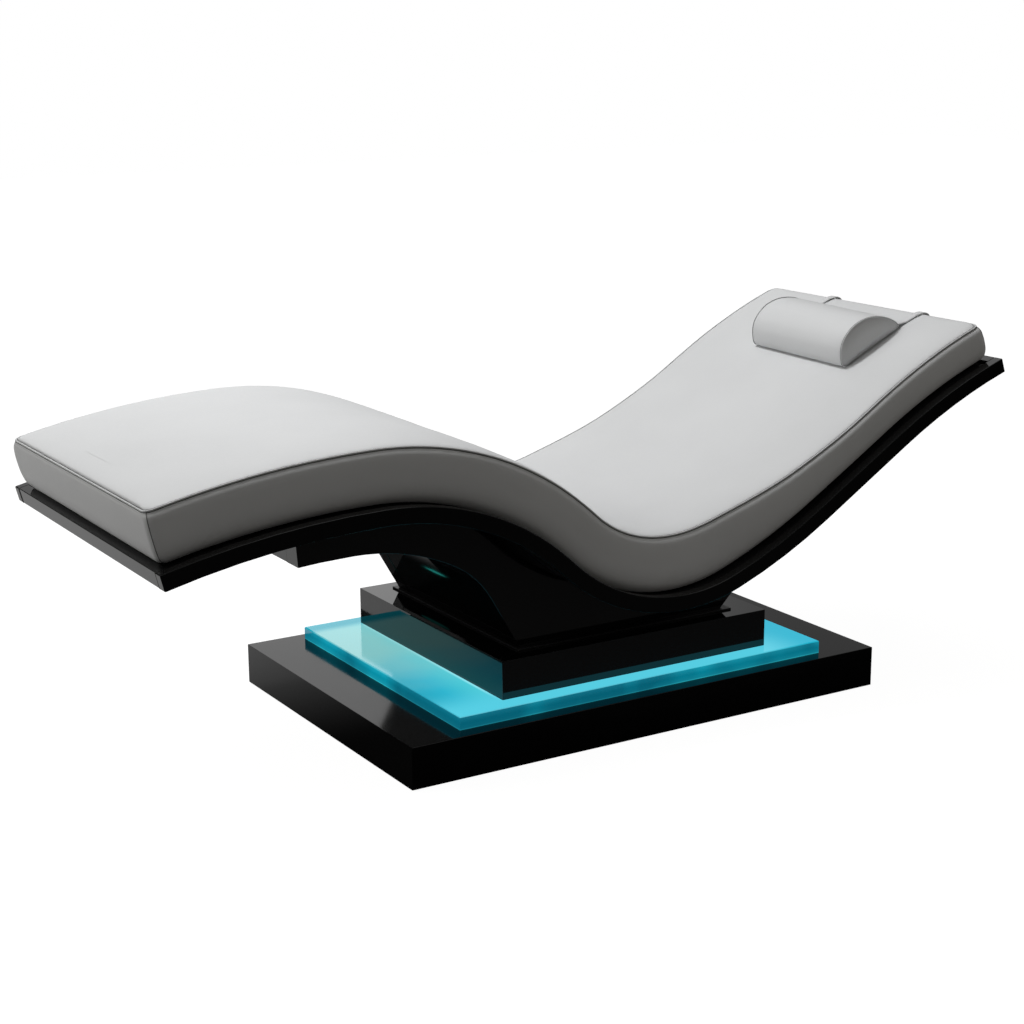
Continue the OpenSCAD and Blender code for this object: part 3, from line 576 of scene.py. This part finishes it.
def seam_line(inset, rise):
    """A line round the cushion, inset from its seam and raised above it."""
    line = []
    for s, y in plan(inset, inset, inset, PIPE_STATIONS):
        x, z = wave(s, seam_height(s) + rise)
        line.append((x, y, z))
    return line


piping = mesh_object("cushion_piping", *tube(seam_line(PIPE_IN, PIPE_RISE), PIPE_R, True, 10), PIPING)
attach(piping, "lounger")

# Painted shade: dark lines in the creases on both sides of the piping
CREASE_SHADE_LINES = ((5.4, 2.1, 0.4), (1.7, -1.5, 0.42))
shade_lines = [tube(seam_line(inset, rise), radius, True, 6) for inset, rise, radius in CREASE_SHADE_LINES]
creases = mesh_object("cushion_crease_shade", *joined(shade_lines), CREASE_SHADE_AND_JOINT)
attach(creases, "lounger")

# Painted shade: dark lines in the closing seams at the four corners of the border
SEAM_R = 0.8
shade_lines = []
for end, side in ((0, -1), (0, 1), (1, -1), (1, 1)):
    line = []
    for share, inset in SIDE_FINE[1:-1]:
        q, turn = CORNER_R, math.radians(45)
        if end == 0:
            s = SEAM_FOOT + inset * END_SHARE + q - q * math.sin(turn)
        else:
            s = LENGTH - SEAM_HEAD - head_inset(share) - q + q * math.sin(turn)
        y = side * (SEAM_HALF - inset - q + q * math.cos(turn))
        x, z = wave(s, DECK_TOP + (seam_height(s) - DECK_TOP) * share)
        line.append((x, y, z))
    shade_lines.append(tube(line, SEAM_R, False, 6))
seams = mesh_object("cushion_corner_seam_shade", *joined(shade_lines), SEAM_SHADE)
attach(seams, "lounger")

# The dark joints between the foot rail and the side rails' ends
RAIL_IN, RAIL_H, JOINT_W = 377.6, 33, 4.2
JOINT = ((0.55, 0.6), (0.55, RAIL_H - 0.6), (3, RAIL_H + 0.25), (6, RAIL_H - 1), (6, 0.6))
joints = []
for side in (-1, 1):
    y0, y1 = side * RAIL_IN, side * (RAIL_IN - JOINT_W)
    points = [wave(s, d) for s, d in JOINT]
    n = len(points)
    ring = [(x, y, z) for y in (y0, y1) for x, z in points]
    joints.append((ring, caps(2, n) + loft(2, n)))
rail_joints = mesh_object("rail_joints", *joined(joints), CREASE_SHADE_AND_JOINT, smooth=False)
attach(rail_joints, "lounger")

# The neck pillow
PILLOW_AT, PILLOW_GAP, PILLOW_DEPTH, PILLOW_H, PILLOW_LENGTH, PILLOW_OFF = 2021, 0.9, 174, 73.5, 333, -23.5
PILLOW_TURN = math.sin(math.radians(1.6))
DEPTH_SHARES = (0.03, 0, -0.01, 0.02, 0.07, 0.16, 0.29, 0.43, 0.59, 0.74, 0.87, 0.96, 1.01, 1, 0.97)
HEIGHT_SHARES = (0, 0.04, 0.17, 0.42, 0.64, 0.83, 0.96, 1, 0.94, 0.79, 0.57, 0.33, 0.12, 0.04, 0)
before, after = top(PILLOW_AT - 0.5, 0), top(PILLOW_AT + 0.5, 0)
PILLOW_SLOPE = math.atan2(after[1] - before[1], after[0] - before[0])
PILLOW_MID = top(PILLOW_AT, PILLOW_GAP)
PILLOW_NEAR = PILLOW_OFF - PILLOW_LENGTH / 2
PILLOW_FAR = PILLOW_OFF + PILLOW_LENGTH / 2
# The flat underside runs between these shares of the depth
BASE_BACK, BASE_RUN = 0.97, 0.94
# Each ring near an end: how far in from the end, and how much the section is drawn in
PILLOW_ENDS = ((-5.6, 66), (-5.2, 52), (-4.0, 38), (-2.2, 24), (0.1, 13), (1.9, 6.5), (2.6, 3.6), (4.0, 1.9),
               (7, 0.9), (12, 0.4), (24, 0))
END_REACH, END_MIDDLE = 24, 0.36


def on_pillow(u, v):
    w = u - PILLOW_DEPTH / 2
    c, s = math.cos(PILLOW_SLOPE), math.sin(PILLOW_SLOPE)
    return PILLOW_MID[0] + w * c - v * s, PILLOW_MID[1] + w * s + v * c


def pillow_outline(count):
    shares = list(zip(DEPTH_SHARES, HEIGHT_SHARES))
    places = [spline(shares, i / count) for i in range(count + 1)]
    return [(PILLOW_DEPTH * u, PILLOW_H * max(0, v)) for u, v in places]


def pillow_section(count, base_count):
    """The outline with its flat underside."""
    base = [(PILLOW_DEPTH * (BASE_BACK - BASE_RUN * i / base_count), 0.0) for i in range(1, base_count)]
    return pillow_outline(count) + base


def pillow_mesh():
    section = pillow_section(56, 12)
    n = len(section)
    rings = [(PILLOW_NEAR + d, draw) for d, draw in PILLOW_ENDS]
    for i in range(1, 24):
        rings.append((PILLOW_NEAR + END_REACH + (PILLOW_LENGTH - 2 * END_REACH) * i / 24, 0))
    rings += [(PILLOW_FAR - d, draw) for d, draw in reversed(PILLOW_ENDS)]
    points = []
    for y, draw in rings:
        f = 1 - 2 * draw / PILLOW_DEPTH
        for u, v in section:
            swell = 1 + 0.012 * noise.noise(Vector((y / 90, u / 60, v / 60)))
            lift = 0.35 if draw > 3 else 0
            uu = PILLOW_DEPTH * 0.5 + (u - PILLOW_DEPTH * 0.5) * f
            vv = (v * swell if v > 1 else v) * f + lift
            if draw > 8:
                vv = PILLOW_H * END_MIDDLE + (v - PILLOW_H * END_MIDDLE) * f
            x, z = on_pillow(uu + (y - PILLOW_NEAR) * PILLOW_TURN, max(vv, 0))
            points.append((x, y - uu * PILLOW_TURN, z))
    return points, loft(len(rings), n) + caps(len(rings), n)


pillow = mesh_object("neck_pillow_cover", *pillow_mesh(), LEATHER)
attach(pillow, "pillow")
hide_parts("neck_pillow")


def pillow_line(inwards, lift):
    """A line round both ends of the pillow, some way in from the end and out from its skin."""
    lines = []
    for y in (PILLOW_NEAR + inwards, PILLOW_FAR - inwards):
        line = []
        for u, v in pillow_section(60, 8):
            f = 1 + 2 * lift / PILLOW_DEPTH
            u = PILLOW_DEPTH * 0.5 + (u - PILLOW_DEPTH * 0.5) * f
            x, z = on_pillow(u + (y - PILLOW_NEAR) * PILLOW_TURN, max(v * f, 1.6))
            line.append((x, y - u * PILLOW_TURN, z))
        lines.append(line)
    return lines


# The pillow's piping, and dark lines of painted shade in the creases beside it
RIMS = (("neck_pillow_piping", 0.9, -1.4, 1.3, PIPING), ("neck_pillow_crease_shade", 2.7, -0.3, 0.5, SEAM_SHADE))
for name, inwards, lift, radius, material in RIMS:
    rims = [tube(line, radius, True, 8, (0, 1, 0)) for line in pillow_line(inwards, lift)]
    rim = mesh_object(name, *joined(rims), material)
    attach(rim, "pillow")

# Straps and counterweight
STRAP_W, STRAP_T, STRAP_GAP, STRAP_RISE = 20, 3, 0.8, 8
STRAP_EDGE_R, STRAP_START = 1.2, 0.56
HANG_GAP, HANG_FROM = 3, 10
STITCH_PITCH, STITCH_HALF, STITCH_R, STITCH_IN = 4.5, 1.5, 0.35, 3
WEIGHT_TOP, WEIGHT_H, WEIGHT_T, WEIGHT_LENGTH, WEIGHT_OFF = 650, 56, 24, 330, -26
S_EDGE = LENGTH - SEAM_HEAD - 22
X_HANG = wave(LENGTH, 0)[0] + HANG_GAP
Z_RIM = wave(LENGTH, RAIL_H)[1]
S_STRAP = PILLOW_AT + PILLOW_DEPTH * STRAP_START


def over_edge(past, rise):
    """A place by the head edge: how far past the seam, and how far above it."""
    s = LENGTH - SEAM_HEAD + past
    return wave(s, seam_height(s) + rise)


def front_of(y):
    """The strap's way from the pillow's back, which is turned a little, up to the head edge."""
    turn = (y - PILLOW_NEAR) * PILLOW_TURN
    start = S_STRAP + turn
    line = [on_pillow(PILLOW_DEPTH * BASE_BACK + turn, STRAP_RISE)]
    line.append(on_pillow(PILLOW_DEPTH * 1.03 + turn, STRAP_RISE * 0.4))
    return line + [top(start + (S_EDGE - start) * i / 6, STRAP_GAP) for i in range(1, 7)]


EDGE = ((-22, CROWN + STRAP_GAP), (-17, 10.2), (-12, 9.2), (-7.5, 7.9), (-3.5, 6.2), (0, 4.2), (3.5, 1),
        (6, -4), (7.6, -11), (8.3, -22), (7.8, -44))
edge = [over_edge(*place) for place in EDGE]
over = [tuple(spline(edge, i / 36)) for i in range(37)]
Z_HANG = Z_RIM - HANG_FROM
tail = [over[-1], over_edge(9.5, -66), over_edge(12.5, -78), (X_HANG, Z_HANG)]
tail += [(X_HANG, Z_HANG + (WEIGHT_TOP - Z_RIM + HANG_FROM) * i / 5) for i in range(1, 6)]


def ribbon(path, y):
    """A strap with rounded edges along an [x, z] path; the path is its inner face."""
    half, t, r = STRAP_W / 2, STRAP_T, STRAP_EDGE_R
    corners = ((half - r, t - r, 0), (-half + r, t - r, 90), (-half + r, r, 180), (half - r, r, 270))
    section = rounded(corners, r, 3)
    n = len(section)
    points = []
    for i, (x, z) in enumerate(path):
        x0, z0 = path[max(0, i - 1)]
        x1, z1 = path[min(len(path) - 1, i + 1)]
        d = math.hypot(x1 - x0, z1 - z0)
        nx, nz = -(z1 - z0) / d, (x1 - x0) / d
        for sy, sn in section:
            points.append((x + nx * sn, y + sy, z + nz * sn))
    return points, loft(len(path), n) + caps(len(path), n)


def along(path, step):
    """Places at equal steps along an [x, z] path, each with its unit tangent."""
    found, rest = [], step / 2
    for (x0, z0), (x1, z1) in zip(path, path[1:]):
        d = math.hypot(x1 - x0, z1 - z0)
        while rest <= d:
            place = (x0 + (x1 - x0) * rest / d, z0 + (z1 - z0) * rest / d)
            found.append((*place, (x1 - x0) / d, (z1 - z0) / d))
            rest += step
        rest -= d
    return found


def stitches(path, y):
    """Two rows of stitches on the strap's outer face."""
    made = []
    for x, z, tx, tz in along(path, STITCH_PITCH):
        for row in (-STRAP_W / 2 + STITCH_IN, STRAP_W / 2 - STITCH_IN):
            nx, nz = -tz, tx
            ends = [(x + nx * (STRAP_T + h) + tx * k, y + row, z + nz * (STRAP_T + h) + tz * k)
                    for k, h in ((-STITCH_HALF, -0.1), (0, 0.25), (STITCH_HALF, -0.1))]
            made.append(tube(ends, STITCH_R, False, 5, (0, 1, 0)))
    return joined(made)


def dense(path, count):
    return [tuple(spline(path, i / count)) for i in range(count + 1)]


STRAP_STEPS = 28
for side, y in (("near", PILLOW_NEAR - 1 + STRAP_W / 2), ("far", PILLOW_FAR - 6 - STRAP_W / 2)):
    node = "strap_" + side
    for what, path, a, b in (("front", dense(front_of(y), STRAP_STEPS), "pillow", "lounger"),
                             ("over", over, "lounger", None),
                             ("tail", dense(tail, STRAP_STEPS), "lounger", "weight")):
        strap = mesh_object(f"strap_{side}_{what}", *ribbon(path, y), LEATHER)
        thread_and_seam_shade = mesh_object(f"strap_{side}_{what}_stitches", *stitches(path, y), PIPING)
        for piece in (strap, thread_and_seam_shade):
            if b is None:
                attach(piece, a)
            else:
                first, last = path[2], path[-1]
                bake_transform(piece)
        if what == "over":
            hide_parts(node)


def cover_mesh():
    """A sewn cover round the steel bar: a soft block with rounded edges."""
    x0, x1 = X_HANG, X_HANG + WEIGHT_T
    y0, y1 = WEIGHT_OFF - WEIGHT_LENGTH / 2, WEIGHT_OFF + WEIGHT_LENGTH / 2
    z0, z1 = WEIGHT_TOP - WEIGHT_H, WEIGHT_TOP
    r = 5
    corners = ((x1 - r, z1 - r, 0), (x0 + r, z1 - r, 90), (x0 + r, z0 + r, 180), (x1 - r, z0 + r, 270))
    outline = rounded(corners, r, 5)
    n = len(outline)
    mx, mz = (x0 + x1) / 2, (z0 + z1) / 2
    steps = [(0, 0.55), (0.3, 0.8), (1.2, 0.93), (3, 0.98), (6, 1.0)]
    rings = [(y0 + d, f) for d, f in steps]
    rings += [(y0 + 6 + (y1 - y0 - 12) * i / 20, 1.0) for i in range(1, 20)]
    rings += [(y1 - d, f) for d, f in reversed(steps)]
    points = []
    for y, f in rings:
        for x, z in outline:
            points.append((mx + (x - mx) * f, y, mz + (z - mz) * f))
    return points, loft(len(rings), n) + caps(len(rings), n)


weight = mesh_object("counterweight_cover", *cover_mesh(), LEATHER)
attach(weight, "weight")
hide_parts("counterweight")

# Camera
camera = bpy.data.objects.new("camera", bpy.data.cameras.new("camera"))
bpy.context.scene.collection.objects.link(camera)
camera.data.lens = 70.47
camera.data.sensor_width = 36
camera.data.clip_end = 60
yaw, pitch, roll = math.radians(31.445), math.radians(14.249), math.radians(-0.306)
camera.matrix_world = (Matrix.Translation((-2.3239, -3.6038, 1.4904)) @ Matrix.Rotation(-yaw, 4, "Z")
                       @ Matrix.Rotation(math.pi / 2 - pitch, 4, "X") @ Matrix.Rotation(roll, 4, "Z"))
bpy.context.scene.camera = camera


# Floor, backdrop and light
def stage_plane(name, points, material):
    mesh = bpy.data.meshes.new(name)
    mesh.from_pydata(points, [], [tuple(range(len(points)))])
    mesh.materials.append(material)
    obj = bpy.data.objects.new(name, mesh)
    bpy.context.scene.collection.objects.link(obj)
    return obj


def pale(name, direct, bounce, gloss):
    """A pale surface: what the camera sees, its own colour in the light, and what a mirror shows."""
    material = bpy.data.materials.new(name)
    material.use_nodes = True
    tree = material.node_tree
    tree.nodes.clear()
    out = add(tree, "ShaderNodeOutputMaterial")
    diffuse = add(tree, "ShaderNodeBsdfDiffuse", Color=(bounce, bounce, bounce, 1))
    path = add(tree, "ShaderNodeLightPath")
    # Far from the object the floor runs into the white backdrop without a line.
    away = add(tree, "ShaderNodeVectorMath", operation="LENGTH")
    tree.links.new(object_place(tree), away.inputs[0])
    rise = map_range(tree, away.outputs["Value"], 1.6, 5.0, direct, 1.0, smooth=True)
    seen = compute(tree, "MULTIPLY", path.outputs["Is Camera Ray"], rise)
    mirrored = compute(tree, "MULTIPLY", mirror_ray(tree, path), gloss)
    glow = add(tree, "ShaderNodeEmission")
    tree.links.new(compute(tree, "ADD", seen, mirrored), glow.inputs["Strength"])
    both = add(tree, "ShaderNodeAddShader")
    tree.links.new(diffuse.outputs[0], both.inputs[0])
    tree.links.new(glow.outputs[0], both.inputs[1])
    tree.links.new(both.outputs[0], out.inputs["Surface"])
    return material


def painted_reflection_sheet():
    """A painted dark reflection: a black sheet on the studio floor before the lounger that only mirrors see,
    thinning out towards the far side.
    """
    material, tree, shader = new_material("painted_dark_reflection", (0.085, 0.085, 0.085), 1.0)
    shader.inputs["Specular IOR Level"].default_value = 0.0
    across = separate(tree, object_place(tree))["Y"]
    tree.links.new(map_range(tree, across, -0.1, 0.75, 1.0, 0.0, smooth=True), shader.inputs["Alpha"])
    return material


def level(x0, y0, x1, y1, z):
    """The corners of a level plane, in metres."""
    return [(x0, y0, z), (x1, y0, z), (x1, y1, z), (x0, y1, z)]


stage_plane("floor", level(-14, -14, 14, 14, 0), pale("floor", 0.97, 0.2, 0.5))
# Dark planes that only mirrors see: painted dark reflections on the floor and upright before the lounger, and
# a painted shadow round the plinth
dark = painted_reflection_sheet()
painted_dark_reflection = stage_plane("painted_reflection_floor", level(-2.2, -9, 9, 0.8, 0.0015), dark)
card = stage_plane("painted_reflection_card", [(-3, -6, 0), (8, -6, 0), (8, -6, 3.5), (-3, -6, 3.5)], dark)
# The plane round the plinth is a painted shadow under and behind the lounger, for mirrors only
shade, tree, shader = new_material("painted_shadow_material", (0.03, 0.03, 0.03), 1.0)
shader.inputs["Specular IOR Level"].default_value = 0.0
under = stage_plane("painted_shadow_under", level(-0.56, -0.6, 1.3, 0.98, 0.003), shade)
for piece in (painted_dark_reflection, card, under):
    piece.visible_camera = False
    piece.visible_diffuse = False
    piece.visible_shadow = False
    piece.visible_transmission = False

world = bpy.data.worlds.new("studio")
bpy.context.scene.world = world
world.use_nodes = True
tree = world.node_tree
tree.nodes.clear()
out = add(tree, "ShaderNodeOutputWorld")
path = add(tree, "ShaderNodeLightPath")
sky = add(tree, "ShaderNodeBackground", Color=(1, 0.97, 0.91, 1), Strength=0.13)
seen = add(tree, "ShaderNodeBackground", Color=(1, 1, 1, 1), Strength=1.0)
mirrored = add(tree, "ShaderNodeBackground", Color=(1, 1, 1, 1))
way = separate(tree, add(tree, "ShaderNodeTexCoord").outputs["Generated"])["X"]
grey = map_range(tree, way, 0.43, 0.62, 1.0, 0.25, smooth=True)
# What mirrors see of the studio is a painted reflection: white, greying along X and dark towards the foot
# end's far corner, where only second mirrorings look.
painted_dark_corner = map_range(tree, way, 0.02, 0.3, 0.03, 1.0, smooth=True)
tree.links.new(compute(tree, "MULTIPLY", grey, painted_dark_corner), mirrored.inputs["Strength"])
first = add(tree, "ShaderNodeMixShader")
second = add(tree, "ShaderNodeMixShader")
tree.links.new(mirror_ray(tree, path), first.inputs[0])
tree.links.new(sky.outputs[0], first.inputs[1])
tree.links.new(mirrored.outputs[0], first.inputs[2])
tree.links.new(path.outputs["Is Camera Ray"], second.inputs[0])
tree.links.new(first.outputs[0], second.inputs[1])
tree.links.new(seen.outputs[0], second.inputs[2])
tree.links.new(second.outputs[0], out.inputs["Surface"])


def lamp(name, where, towards, size, size_y, power, color):
    """An area lamp; metres and watts."""
    data = bpy.data.lights.new(name, "AREA")
    data.shape = "RECTANGLE"
    data.size, data.size_y, data.energy = size, size_y, power
    obj = bpy.data.objects.new(name, data)
    bpy.context.scene.collection.objects.link(obj)
    obj.location = where
    obj.rotation_mode = "QUATERNION"
    obj.rotation_quaternion = (Vector(towards) - Vector(where)).to_track_quat("-Z", "Y")
    data.color = color
    obj.visible_camera = False
    return obj


lamp("overhead", (-0.3, 0.95, 3.3), (-0.3, 0.85, 0), 3.4, 2.9, 22, (1, 1, 1))
lamp("foot_side", (-4.2, 1.6, 1.9), (-0.3, 0, 0.4), 2.2, 2.0, 42, (1, 0.985, 0.955))
lamp("key", (-0.7, 0.7, 3.6), (-0.1, 0, 0.5), 0.35, 0.35, 58, (1, 1, 1))
# The glow that the lit slab throws up into the foot arch.
glow = lamp("slab_glow", (-0.3255, 0.155, 0.2036), (-0.3255, 0.155, 1), 0.011, 0.13, 0.0024, (0.07, 1, 0.86))
glow.data.shape = "ELLIPSE"
fill = lamp("near_fill", (1.9, -3.3, 0.9), (0.4, -0.3, 0.6), 1.6, 1.2, 4.2, (1, 0.93, 0.83))
fill.visible_glossy = False

bpy.context.scene.view_settings.view_transform = "Standard"
